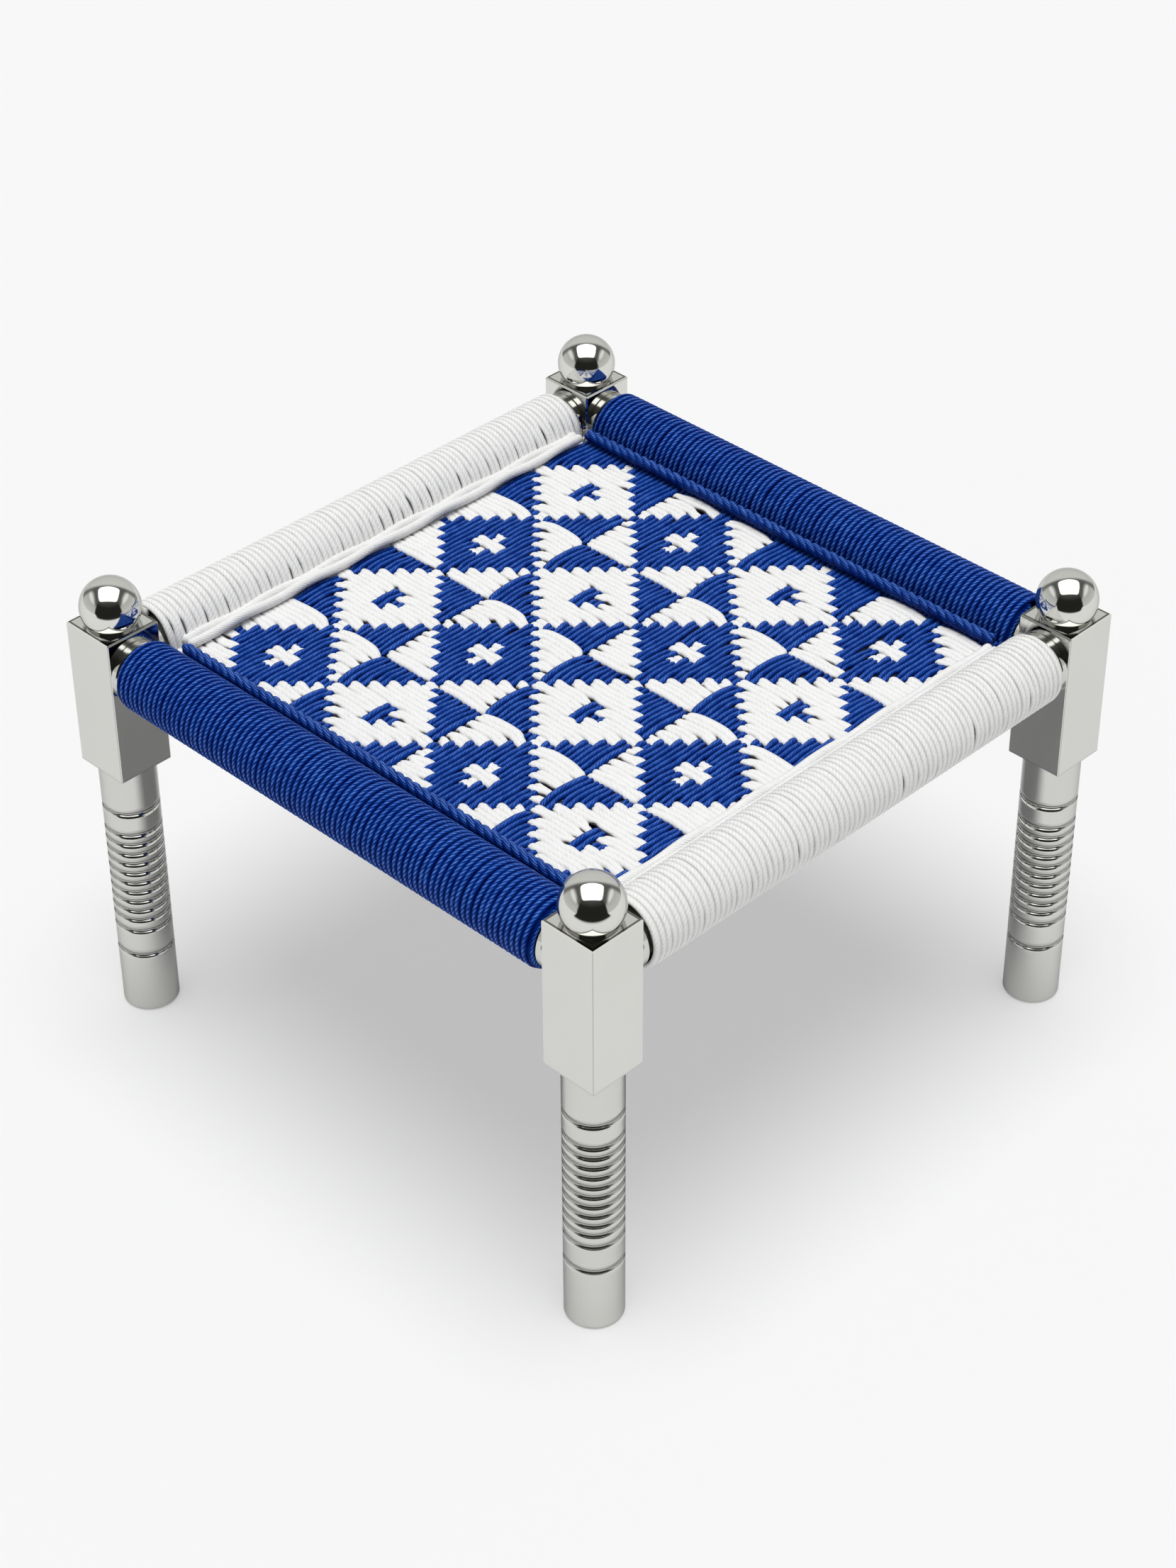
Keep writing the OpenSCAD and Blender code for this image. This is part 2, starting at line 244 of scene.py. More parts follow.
class EdgeSettings(cord_settings(
        contrast=0.8, line=0.8, narrow=1.2, sharp=1.5, gloss=0.2, crest=80, depth=(0.4, 0.2),
        strands=(10, 10), lay=(-60, 24), radius=(2.3, 3.1), rise=(1.4, 0.1)), PropertyGroup):
    """The cords along the seat's edges"""
    twist: length_prop("Twist", "Length of blue edge cord for one turn of its three strands", 21.6, 6, 40)
    sway: angle_prop("Sway", "Angle by which the two strands of a white edge cord turn to and fro", 18)
    white_press: length_prop(
        "White press", "How far a white edge cord is pressed towards its rail", 3.6, 0, 5)


class SteelSettings(PropertyGroup):
    """The steel and the foot glides"""
    colour: colour_prop("Steel", "Colour of the polished steel", (0.70, 0.70, 0.668))
    ball_roughness: share_prop("Ball roughness", "Roughness of the ball finials", 0.08)
    post_roughness: share_prop("Post roughness", "Roughness of the post blocks", 0.08)
    turned_roughness: share_prop("Turned roughness", "Roughness of the turned legs and collars", 0.09)
    rim: share_prop("Rim", "Share of the light that the steel still mirrors where it turns away", 0.65)
    # Painted shade along edges and in grooves
    edge_shade: share_prop("Edge dark", "How much darker the steel is along edges and in grooves", 0.45)
    hollow: length_prop("Hollow", "Half the width of the hollow polished about a groove", 3.6, 2, 3.8)
    hollow_depth: length_prop("Hollow depth", "Depth of that hollow", 0.7, 0, 1)
    rubber: colour_prop("Rubber", "Colour of the foot glides", (0.03, 0.03, 0.033))


class StageSettings(PropertyGroup):
    """Floor, light and camera"""
    paper: colour_prop("Paper", "Colour of the floor and backdrop", (0.93, 0.93, 0.93))
    floor_size: number_prop("Floor size", "Side of the floor", 14, 2, 50, subtype="DISTANCE")
    paper_reach: number_prop(
        "Paper reach", "How far the paper that the steel mirrors reaches to the camera",
        0.98, 0.4, 10, subtype="DISTANCE")
    shadow_lift: share_prop(
        "Shadow lift", "Share of the floor that the camera sees without its shadow", 0.4)
    fill: number_prop("Fill", "Strength of the soft light from all round", 0.30, 0, 3)
    key: number_prop("Key", "Strength of the soft light overhead", 2.25, 0, 10)
    key_tilt: angle_prop("Key tilt", "How far the soft light leans to the camera's side", 5, 0, 30)
    key_spread: angle_prop("Key spread", "Width of the soft light overhead", 40)
    camera_place: FloatVectorProperty(
        name="Camera", description="Place of the camera", subtype="TRANSLATION", size=3,
        default=(1.20144, -1.20796, 1.45146))
    camera_azimuth: angle_prop(
        "Azimuth", "Turn of the camera about the vertical, from the -Y side", 44.888, -180)
    camera_elevation: angle_prop("Elevation", "How steeply the camera looks down", 36.959, -90, 90)
    camera_roll: angle_prop("Roll", "Turn of the camera about its line of sight", -0.362, -180)
    lens: number_prop(
        "Lens", "Focal length in millimetres on a frame 36 mm on its long side", 77.68, 10, 300)


SETTINGS = {
    "stool_cord": CordSettings, "stool_winding": WindingSettings, "stool_weave": WeaveSettings,
    "stool_edge": EdgeSettings, "stool_steel": SteelSettings, "stool_stage": StageSettings,
}


class Graph:
    """A material's or world's node tree, emptied.

    add() makes a node of the kind that Blender names with ShaderNode in front, sets its settings and then
    its inputs, and gives back one of its outputs.
    """

    def __init__(self, owner):
        self.owner = owner
        owner.use_nodes = True
        self.tree = owner.node_tree
        self.tree.nodes.clear()

    def add(self, kind, settings=None, inputs=None, output=0):
        node = self.tree.nodes.new("ShaderNode" + kind)
        for name, value in (settings or {}).items():
            if name == "stops":
                ramp = node.color_ramp
                while len(ramp.elements) < len(value):
                    ramp.elements.new(0.5)
                for element, (place, shade) in zip(ramp.elements, value):
                    element.position = place
                    element.color = (*shade, 1)
            else:
                setattr(node, name, value)
        for name, value in (inputs or {}).items():
            socket = node.inputs[name]
            if isinstance(value, Value):
                self.tree.links.new(value.socket, socket)
            elif socket.type == "RGBA" and len(value) == 3:
                socket.default_value = (*value, 1)
            else:
                socket.default_value = value
        return Value(self, node.outputs[output]) if node.outputs else None

    def math(self, operation, *values, clamp=False):
        return self.add("Math", {"operation": operation, "use_clamp": clamp}, dict(enumerate(values)))

    def place(self):
        """Where a point lies, in object coordinates."""
        return self.add("TexCoord", output="Object")

    def ray(self, kind):
        """1 for rays of one kind and 0 for others."""
        return self.add("LightPath", output=f"Is {kind} Ray")

    def mix(self, share, first, second):
        """Colour that is first where share is 0 and second where it is 1."""
        return self.add("Mix", {"data_type": "RGBA"}, {0: share, 6: first, 7: second}, 2)

    def mix_shaders(self, share, first, second):
        """Shader that is first where share is 0 and second where it is 1."""
        return self.add("MixShader", inputs={0: share, 1: first, 2: second})

    def dot(self, vector, axis):
        """How far a vector reaches along an axis of length 1."""
        return self.add("VectorMath", {"operation": "DOT_PRODUCT"}, {0: vector, 1: axis}, "Value")

    def axes(self, vector, names="XYZ"):
        """The named coordinates of a vector."""
        return [self.add("SeparateXYZ", inputs={0: vector}, output=axis) for axis in names]

    def noise(self, place, scale, detail, roughness=0.5, dimensions=3):
        """Cloudy values from 0 to 1 by place, which is one number where there is one dimension."""
        return self.add("TexNoise", {"noise_dimensions": f"{dimensions}D"}, {
            "W" if dimensions == 1 else "Vector": place,
            "Scale": scale, "Detail": detail, "Roughness": roughness})

    def bump(self, height, distance):
        """Normal of a surface that stands out by height times distance."""
        return self.add("Bump", inputs={"Height": height, "Distance": distance})

    def finish(self, inputs):
        """Puts one Principled shader with these inputs on the material, and gives the material back."""
        self.add("OutputMaterial", inputs={"Surface": self.add("BsdfPrincipled", inputs=inputs)})
        return self.owner


def maths(operation, turned=False):
    """A method that adds a Math node to a value and others, the other one first if turned."""
    def method(self, *others):
        return self.graph.math(operation, *(reversed((self, *others)) if turned else (self, *others)))
    return method


class Value:
    """An output socket that takes part in arithmetic, either way round, by adding Math nodes."""

    def __init__(self, graph, socket):
        self.graph, self.socket = graph, socket

    __add__, __radd__ = maths("ADD"), maths("ADD", True)
    __sub__, __rsub__ = maths("SUBTRACT"), maths("SUBTRACT", True)
    __mul__, __rmul__ = maths("MULTIPLY"), maths("MULTIPLY", True)
    __truediv__, __pow__, __abs__ = maths("DIVIDE"), maths("POWER"), maths("ABSOLUTE")
    most, least, sin, zigzag = maths("MAXIMUM"), maths("MINIMUM"), maths("SINE"), maths("PINGPONG")

    def over(self, limit, soft):
        """0 below the limit and 1 above it, with an edge that is soft wide."""
        return self.graph.math("MULTIPLY_ADD", self, 1 / soft, 0.5 - limit / soft, clamp=True)


def smooth_step(t):
    """Rises from 0 to 1 as t does, level at both ends: 3 t^2 - 2 t^3."""
    t = np.clip(t, 0, 1)
    return t * t * (3 - 2 * t)


def unit(vectors):
    """Each vector over its own length."""
    return vectors / np.linalg.norm(vectors, axis=-1, keepdims=True)


def between(knots, at):
    """The knots of each row at places counted in knots, joined from one to the next by 3 t^2 - 2 t^3."""
    low = np.clip(np.floor(at).astype(int), 0, knots.shape[1] - 2)
    share = smooth_step(at - low)
    return knots[:, low] * (1 - share) + knots[:, low + 1] * share


def value_noise(rng, lines, place, gap):
    """Smooth random curves: random values a gap apart along each line, joined by 3 t^2 - 2 t^3."""
    start = place.min()
    knots = rng.normal(size=(lines, int((place.max() - start) / gap) + 3))
    return between(knots, (place - start) / gap)


def cord_rings(path, up_hint, half_width, half_height, sides):
    """Points round cords: at each place on a path, an ellipse square to the path.

    path is (cords, rings, 3). The ellipse's upright half size lies as near to up_hint as it can.
    """
    along = unit(np.gradient(path, axis=1))
    side = unit(np.cross(up_hint, along))
    up = np.cross(along, side)
    turn = np.arange(sides) * (2 * np.pi / sides)
    wide, high = (np.asarray(half)[..., None] * wave(turn)
                  for half, wave in ((half_width, np.cos), (half_height, np.sin)))
    return path[:, :, None] + side[:, :, None] * wide[..., None] + up[:, :, None] * high[..., None]


def run_lengths(path):
    """Length along each path up to each of its points."""
    steps = np.linalg.norm(np.diff(path, axis=1), axis=2)
    return np.concatenate([np.zeros((len(path), 1)), np.cumsum(steps, axis=1)], axis=1)


def tubes(points, lengths, strands, lay, crest, slit_shade=0, sunk_shade=0):
    """Faces and surface coordinates of closed tubes.

    points is (tubes, rings, sides, 3). Quads join each ring to the next, and one face closes each end.
    The coordinates count strands: those that cross a line along the tube, one every lay / strands of
    length, and those that cross a line round it. The crest, which sets the painted highlight along a
    cord's top, is 1 along the tube's top and falls in proportion to the angle from there, to 0 at the
    angle crest; with a crest of 0 it is -1 all over, which paints the tube in shade all round. On a
    cord's sides it is lower along a slit by the painted shade there, and it is lower all round by the
    painted shade where a cord goes down.
    """
    count, rings, sides = points.shape[:3]
    around = np.arange(sides)
    from_top = abs(around * (2 * np.pi / sides) - np.pi / 2)
    from_top = np.minimum(from_top, 2 * np.pi - from_top)
    height = np.maximum(1 - from_top / crest, 0) if crest else np.full(sides, -1.0)
    at_side = abs(from_top - np.pi / 2) < 0.1
    # Painted shade along a slit's sides and where a cord goes down
    height = height - np.asarray(slit_shade)[..., None] * at_side - np.asarray(sunk_shade)[..., None]
    height = np.broadcast_to(height, (count, rings, sides))
    lengths = lengths * (strands / lay)
    ring, side = np.meshgrid(np.arange(rings - 1), around, indexing="ij")
    quads = np.stack([ring, ring, ring + 1, ring + 1], -1), np.stack([side, side + 1, side + 1, side], -1)
    corners, sizes, surface = [], [], []
    # The quads of all tubes, then the faces at their starts and those at their ends
    for ring, side in (quads, (0 * around, around[::-1]), (0 * around + rings - 1, around)):
        tube = np.arange(count).reshape(-1, *[1] * ring.ndim)
        corners.append(((tube * rings + ring) * sides + side % sides).ravel())
        sizes.append(np.full(corners[-1].size // side.shape[-1], side.shape[-1]))
        place = np.broadcast_arrays(lengths[tube, ring], side * (strands / sides))
        surface.append(np.stack(place, axis=-1).reshape(-1, 2))
    corners, sizes, surface = (np.concatenate(part) for part in (corners, sizes, surface))
    return points.reshape(-1, 3), corners, sizes, surface, height.ravel()


def quarter_turned(points, quarters):
    """Points turned about the vertical by quarter turns, from +X towards +Y."""
    x, y, z = np.moveaxis(points, -1, 0)
    for _ in range(quarters % 4):
        x, y = -y, x
    return np.stack([x, y, z], axis=-1)


def on_rail(points, quarters):
    """Points drawn round a rail that lies along X with its middle at the origin, put on their rail."""
    return quarter_turned(points + np.array([0, -RAIL_OFFSET, RAIL_HEIGHT]), quarters)


def twist(settings, colour):
    """How many strands a cord has and the length for one turn of a strand."""
    return getattr(settings, colour + "_strands"), getattr(settings, colour + "_lay")


def cord_material(use, colour, settings):
    """Twisted cord: painted highlight on the crest of each strand and of the cord itself, painted shade in
    the grooves.

    A strand's crest is |sin(pi s)| to the power sharp, where s counts the strands across the surface, and
    the cord's crest is an attribute: 1 along its top, less to either side and below 0 in a slit, where the
    cord takes the painted shade of its slit colour.
    """
    name = f"{use}_{colour}_cord"
    if name in bpy.data.materials:
        return bpy.data.materials[name]
    cord = bpy.context.scene.stool_cord
    under, deep, body, light, sheen = (
        getattr(cord, f"{colour}_{part}") for part in ("under", "deep", "body", "light", "sheen"))
    contrast = settings.contrast
    graph = Graph(bpy.data.materials.new(name))
    along, around = graph.axes(graph.add("UVMap", {"uv_map": UV_NAME}), "XY")
    strand = around - along
    crown = abs((strand * math.pi).sin())
    crest = graph.add("Attribute", {"attribute_name": CREST}, output="Fac")
    # Fibres run along each strand, dashes break its painted highlight line, and patches cover several
    # cords
    fibre_place = graph.add("CombineXYZ", inputs={0: strand * 7, 1: along * 1.2})
    fibre = graph.noise(fibre_place, 1.0, 2.0, 0.6, dimensions=2)
    dash_place = graph.add("CombineXYZ", inputs={0: strand * 1.3, 1: along * 0.9})
    dash = graph.noise(dash_place, 1.0, 1.0, dimensions=2)
    patch = graph.noise(graph.place(), 150.0, 3.0)
    # Painted highlight along each strand's top and the cord's top, painted shade between strands and down
    # the sides; fibre and patch add the cord's own tone
    line = crown ** settings.sharp * (dash * 2.4 - 0.1) * contrast + settings.line * (1 - contrast)
    height = crest.most(0) ** settings.narrow * line + crown * (0.12 * contrast)
    height = height + fibre * 0.3 + patch * 0.5 - 0.37
    shade = graph.add("ValToRGB", {"stops": ((0.0, deep), (0.4, body), (1.0, light))}, {"Fac": height})
    # Painted shade in the slit colour where the crest falls below 0, in a slit or on a winding's under
    # layer
    in_slit_shade = (0 - crest).over(0.2, 0.4)
    return graph.finish({
        "Base Color": graph.mix(in_slit_shade, shade, under), "Roughness": 0.4 + fibre * 0.2,
        "Normal": graph.bump(crown + fibre * 0.25, getattr(settings, colour + "_depth")),
        "Specular Tint": (*sheen, 1), "Specular IOR Level": settings.gloss})


def add_object(name, data):
    """A new object in the scene, at the origin."""
    made = bpy.data.objects.new(name, data)
    bpy.context.scene.collection.objects.link(made)
    return made


def make_piece(name, parts, use, colour, settings, node):
    """One mesh object from several sets of tubes, riding on the frame in place of a CAD node."""
    points, corners, sizes, surface, crest = zip(*parts)
    starts = np.cumsum([0] + [len(part) for part in points[:-1]])
    corners = [part + start for part, start in zip(corners, starts)]
    points, corners, sizes, surface, crest = (
        np.concatenate(part) for part in (points, corners, sizes, surface, crest))
    mesh = bpy.data.meshes.new(name)
    mesh.vertices.add(len(points))
    mesh.vertices.foreach_set("co", points.astype(np.float32).ravel())
    mesh.loops.add(len(corners))
    mesh.loops.foreach_set("vertex_index", corners.astype(np.int32))
    mesh.polygons.add(len(sizes))
    mesh.polygons.foreach_set("loop_start", (np.cumsum(sizes) - sizes).astype(np.int32))
    mesh.polygons.foreach_set("use_smooth", np.ones(len(sizes), bool))
    mesh.attributes.new(CREST, "FLOAT", "POINT").data.foreach_set("value", crest.astype(np.float32))
    mesh.uv_layers.new(name=UV_NAME).data.foreach_set("uv", surface.astype(np.float32).ravel())
    mesh.update(calc_edges=True)
    if mesh.validate():
        raise RuntimeError(f"{name} has faces that don't join up")
    mesh.materials.append(cord_material(use, colour, settings))
    piece = add_object(name, mesh)
    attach(piece, BODY)
    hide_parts(node)


def steel_material(name, roughness, turned=False, square=False):
    """Polished steel: faint smears in its gloss, with painted shade along edges and in grooves.

    Turned pieces also have the fine rings of the tool, and legs a hollow about each groove: with d the
    share of the way from the groove's edge to the hollow's end, its depth goes as (1 - d) ^ 1.3. Square
    ones have thin lines of painted shade along their upright edges, round the top inside its rim, and at
    the foot.
    """
    steel = bpy.context.scene.stool_steel
    black = (0, 0, 0)
    graph = Graph(bpy.data.materials.new(name))
    where = graph.place()
    x, y, height = graph.axes(where)
    smear = graph.noise(where, 28.0, 4.0, 0.6)
    tint = graph.mix(smear, [c * 0.97 for c in steel.colour], [min(1, c * 1.03) for c in steel.colour])
    inputs = {"Metallic": 1.0, "Roughness": roughness * 0.6 + smear * (roughness * 0.8),
              "Specular Tint": (steel.rim, steel.rim, steel.rim, 1)}
    if turned:
        # Distance to the nearest groove
        groove = (height - GROOVES[2]).zigzag(BEAD / 2)
        groove = groove.most(abs(height - BEAD_MIDDLE) - BEAD_REACH)
        for middle in (GROOVES[0], GROOVES[1], GROOVES[-1]):
            groove = groove.least(abs(height - middle))
        share = groove.over((steel.hollow + GROOVE_HALF) / 2, steel.hollow - GROOVE_HALF)
        hollow = (1 - share) ** 1.3
        rings = graph.noise(height, 2600.0, 2.0, dimensions=1)
        inputs["Normal"] = graph.bump(rings * 0.004 - hollow * (steel.hollow_depth / MM), MM)
        # Painted shade in and beside each groove; elsewhere the turned steel is TURNED_DARK darker
        dark = (1 - groove.over(GROOVE_HALF, 1 * MM)) * steel.edge_shade
        tint = graph.mix(dark.most(TURNED_DARK), tint, black)
    if square:
        # Distances from the block's middle along X and Y
        from_x, from_y = abs(abs(x) - CORNER), abs(abs(y) - CORNER)
        # Painted shade: thin lines along the upright edges, round the top inside its rim, and at the foot
        upright = from_x.least(from_y).over(POST_HALF - 0.7 * MM, 0.4 * MM)
        outer = from_x.most(from_y)
        rim = outer.over(POST_HALF - 2.4 * MM, 0.6 * MM) * (1 - outer.over(POST_HALF - 1.1 * MM, 0.3 * MM))
        rim = rim * height.over(post_high.z - 0.4 * MM, 0.2 * MM)
        foot = 1 - height.over(post_low.z + 1.8 * MM, 0.6 * MM)
        dark = (upright * 0.8).most(foot * 0.5) * steel.edge_shade
        tint = graph.mix(dark.most(rim * 0.8), tint, black)
    return graph.finish({"Base Color": tint, **inputs})


def rubber_material(name):
    """Matt moulded rubber with a fine grain."""
    graph = Graph(bpy.data.materials.new(name))
    grain = graph.noise(graph.place(), 1500.0, 2.0)
    colour = bpy.context.scene.stool_steel.rubber
    return graph.finish({
        "Base Color": graph.mix(grain, [c * 0.7 for c in colour], [c * 1.4 for c in colour]),
        "Roughness": 0.6 + grain * 0.2, "Normal": graph.bump(grain, 0.05 * MM)})


class STOOL_OT_polish_steel(Operator):
    """Polishes the finials, posts, legs, collars and rails, and finishes the glides"""
    bl_idname = "stool.polish_steel"
    bl_label = "Polish the steel"

    def execute(self, context):
        steel = context.scene.stool_steel
        finishes = (
            (("_finial",), steel_material("polished_ball", steel.ball_roughness)),
            (("_post_block",), steel_material("polished_post", steel.post_roughness, square=True)),
            (("_leg", "_collar"), steel_material("turned_steel", steel.turned_roughness, turned=True)),
            (("_rail", "_studs", "_plugs"), steel_material("drawn_steel", steel.turned_roughness)),
            (("_foot_glide",), rubber_material("moulded_rubber")),
        )
        for name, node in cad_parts.items():
            for endings, material in finishes:
                if name.endswith(endings):
                    node.data.materials.clear()
                    node.data.materials.append(material)
        return {"FINISHED"}


def slits(rng, turn, turns, usual, sides):
    """How far each place on a winding moves along its rail where neighbouring turns part.

    Each border between two turns opens by a random width, small for most, over a short stretch, by
    exp(-(d / reach)^4) at d turns from its middle. Each turn gives way by half of the slits beside it.
    """
    widest, elsewhere, wander, reach = 1.9, 0.1, 0.015, 0.042
    moved = np.zeros_like(turn)
    number = np.clip(np.floor(turn), 0, turns - 1).astype(int)
    for side, every, width in sides:
        opening = usual * width * np.minimum(rng.gamma(2.2, 0.45, turns + 2), widest)
        opening *= np.where(np.arange(turns + 2) % every == 0, 1, elsewhere)
        middle = side + rng.normal(0, wander, turns)[number]
        stretch = np.exp(-(((turn - number) - middle) / reach) ** 4)
        moved += stretch * (opening[number] - opening[number + 1]) / 2
    return moved


def winding_path(settings, colour, thickness, sides, rng):
    """Centre line of a winding, drawn along X, the way out from it, and half the distance between turns.

    It is a helix over a round bar whose ends are quarter ellipses, with its turns equally far apart along
    the outline: x = f + a sin t, r = R - b (1 - cos t), t from 0 to 90 degrees.
    """
    bend = np.linspace(0, np.pi / 2, BEND_STEPS)
    end_x = WOUND_HALF + settings.end_over - thickness / 2 - settings.end_round * (1 - np.sin(bend))
    end_r = WOUND_RADIUS - thickness / 2 - settings.end_fall * (1 - np.cos(bend))
    outline = np.stack([np.append(-end_x[::-1], end_x), np.append(end_r[::-1], end_r)], axis=-1)
    place = run_lengths(outline[None])[0]
    tangent = unit(np.gradient(outline, place, axis=0))
    cord_half = WOUND_HALF / settings.turns
    turns = round(place[-1] / (2 * cord_half))
    turn = np.linspace(0, turns, turns * TURN_STEPS + 1)
    stray = getattr(settings, colour + "_wander") * value_noise(rng, 1, turn, 0.31)[0]
    stray += slits(rng, turn, turns, getattr(settings, colour + "_gap"), sides)
    at = place[-1] * turn / turns
    # The last two turns at either end stray less and less
    at = at + stray * smooth_step((place[-1] / 2 - abs(at - place[-1] / 2)) / (4 * cord_half))
    x, radius, along, rise = (
        np.interp(at, place, values)[:, None] for values in (*outline.T, *tangent.T))
    angle = turn * 2 * np.pi
    spoke = np.stack([np.zeros_like(angle), np.sin(angle), np.cos(angle)], axis=-1)
    axis = np.array([1.0, 0.0, 0.0])
    return (x * axis + radius * spoke)[None], (along * spoke - rise * axis)[None], cord_half


class STOOL_OT_wind_rails(Operator):
    """Winds each rail with one long cord, two rails in blue and two in white"""
    bl_idname = "stool.wind_rails"
    bl_label = "Wind the rails"

    def execute(self, context):
        settings = context.scene.stool_winding
        for number, (rail, quarters, colour) in enumerate(RAILS):
            rng = np.random.default_rng(WINDING_SEED + number)
            thickness = getattr(settings, colour + "_thickness")
            path, out, cord_half = winding_path(settings, colour, thickness, SLITS[rail], rng)
            rings = cord_rings(path, out, cord_half * OVERLAP[colour], thickness / 2, CORD_SIDES)
            lengths = run_lengths(path)
            lengths += settings.twist_change * value_noise(rng, 1, lengths[0], 30 * MM)
            parts = [tubes(on_rail(rings, quarters), lengths, *twist(settings, colour), settings.crest),
                     self.under_layer(settings, thickness, quarters)]
            make_piece(rail + "_wound_cord", parts, "wound", colour, settings, rail + "_winding")
        return {"FINISHED"}

    def under_layer(self, settings, thickness, quarters):
        """The cord that lies under the outer turns, as one plain round layer, painted all over in the
        painted shade of the slit colour.
        """
        reach = WOUND_HALF - settings.end_round - thickness / 2
        path = np.array([[[-reach, 0, 0], [0, 0, 0], [reach, 0, 0]]])
        radius = WOUND_RADIUS - thickness * 0.8
        points = cord_rings(path, UP, radius, radius, LAYER_SIDES)
        return tubes(on_rail(points, quarters), run_lengths(path), 1, 1, 0)


def blue_on_top(squares, groups):
    """Which crossings have the blue cord on top, as columns along X by rows along Y.

    In a square, a and b count groups from its middle. The diamond is |a| + |b| up to half the groups.
    Squares take turns: a blue diamond with a white cross, and a white diamond with a blue hook.
    """
    half = groups // 2
    index = np.arange(squares * groups)
    square, place = index // groups, index % groups - half
    a, b = place[:, None], place[None, :]
    blue_square = (square[:, None] + square[None, :]) % 2 == 0
    diamond = abs(a) + abs(b) <= half
    cross = abs(a) + abs(b) <= 1
    hook = ((a == 0) & (abs(b) <= 1)) | ((a == 1) & (b == 0))
    return np.where(blue_square, diamond & ~cross, ~diamond | hook)


def float_height(over, place, travel, skew, sides):
    """How high each cord lies at each place: 1 over a crossing group and past the field, -1 under one.

    place counts groups from the field's start. Between two unlike crossings the height changes along
    3 t^2 - 2 t^3, over travel groups. At a border where a float ends, the group leans away from the
    side on which its neighbour's float runs on, and the cord on the other side runs on by skew groups.
    Also gives the height of whole groups smoothed over three crossings, at which borders of the field's
    crossings a group changes, and how it leans there.
    """
    padded = np.pad(np.where(over, 1.0, -1.0), ((0, 0), (2, 2)), constant_values=1)
    heights = padded[:, 1:-1]
    rising = heights[:, 1:] > heights[:, :-1]
    changes = heights[:, 1:] * heights[:, :-1] < 0
    changes[:, [0, -1]] = False
    beside = np.pad(heights, ((1, 1), (0, 0)), mode="edge")
    away = (beside[:-2] - beside[2:]) / 2
    lean = np.where(rising, away[:, :-1], away[:, 1:]) * changes
    border = np.clip(np.rint(place), 0, over.shape[1]).astype(int)
    before, after = heights[:, border], heights[:, border + 1]
    moved = (np.where(rising, -skew, skew) * lean)[:, border]
    step = place - border - moved[:, None] * sides[:, None]
    height = before[:, None] + (after - before)[:, None] * smooth_step(step / travel + 0.5)
    mean = (padded[:, :-2] + 2 * padded[:, 1:-1] + padded[:, 2:]) / 4
    return height, between(mean, np.clip(place + 0.5, 0, over.shape[1] + 1)), changes, lean


def of_neighbour(values, sides):
    """What the next group has, for the cords on a group's + side, and the group before for the others."""
    padded = np.pad(values, ((1, 1), (0, 0)), mode="edge")
    return np.where(sides[:, None] > 0, padded[2:, None], padded[:-2, None])


